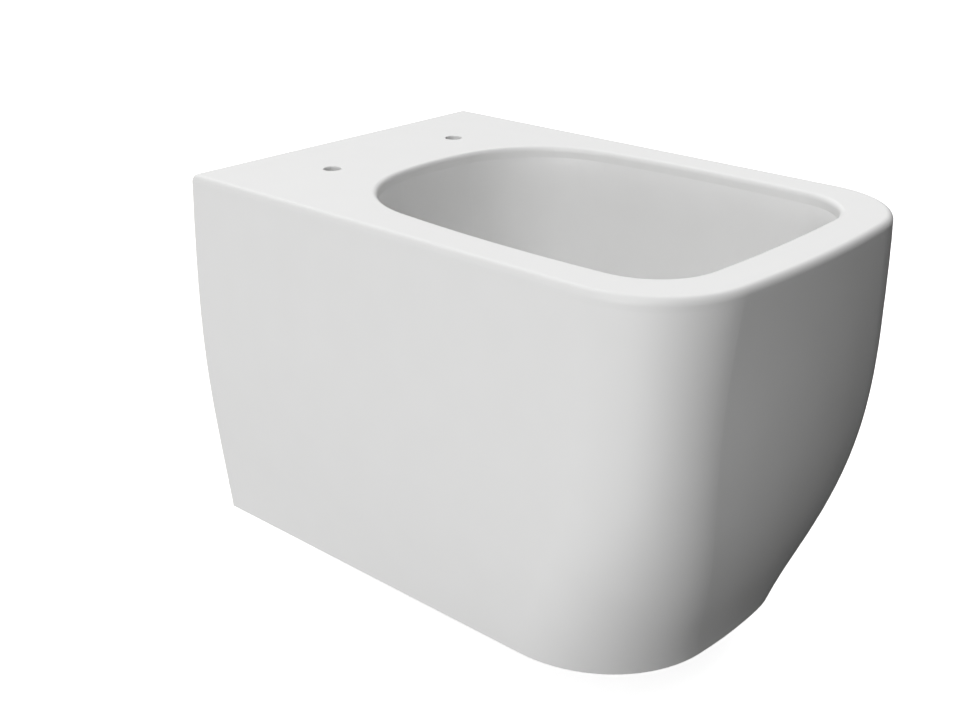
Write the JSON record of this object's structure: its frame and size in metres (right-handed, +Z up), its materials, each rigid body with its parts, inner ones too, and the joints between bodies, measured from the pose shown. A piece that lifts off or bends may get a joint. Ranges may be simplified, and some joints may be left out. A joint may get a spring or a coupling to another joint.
{
  "type": "wall hung toilet",
  "caption": "Squared wall hung toilet pan with a straight skirt, open bowl and hidden clamps reached through the seat holes, with its flush pipe and waste connector.",
  "frame": {"origin": "where the axis of the waste connector meets the finished wall", "axes": "+X to the right as a person faces the wall, +Y into the wall along the waste connector, +Z up"},
  "size_m": [0.3542, 0.5605, 0.3439],
  "materials": {
    "glaze": "gloss white glaze",
    "zinc_plated": "bright zinc plating",
    "die_cast": "as cast",
    "sleeve_plastic": "moulded",
    "pad_plastic": "moulded",
    "pipe_plastic": "satin",
    "restrictor_plastic": "moulded",
    "seal_rubber": "matte"
  },
  "bodies": {
    "root": {"pan": "glaze", "wall_studs": "zinc_plated", "stud_washers": "zinc_plated", "stud_nuts": "zinc_plated", "tension_screws": "zinc_plated", "clamp_plate_left": "zinc_plated", "clamp_plate_right": "zinc_plated", "anchor_block_left": "die_cast", "anchor_block_right": "die_cast", "stud_sleeve_left": "sleeve_plastic", "stud_sleeve_right": "sleeve_plastic", "clamp_pad_left": "pad_plastic", "clamp_pad_right": "pad_plastic", "flush_pipe": "pipe_plastic", "waste_connector": "pipe_plastic", "flow_restrictor": "restrictor_plastic", "flush_seal": "seal_rubber", "waste_seal": "seal_rubber"}
  },
  "joints": []
}
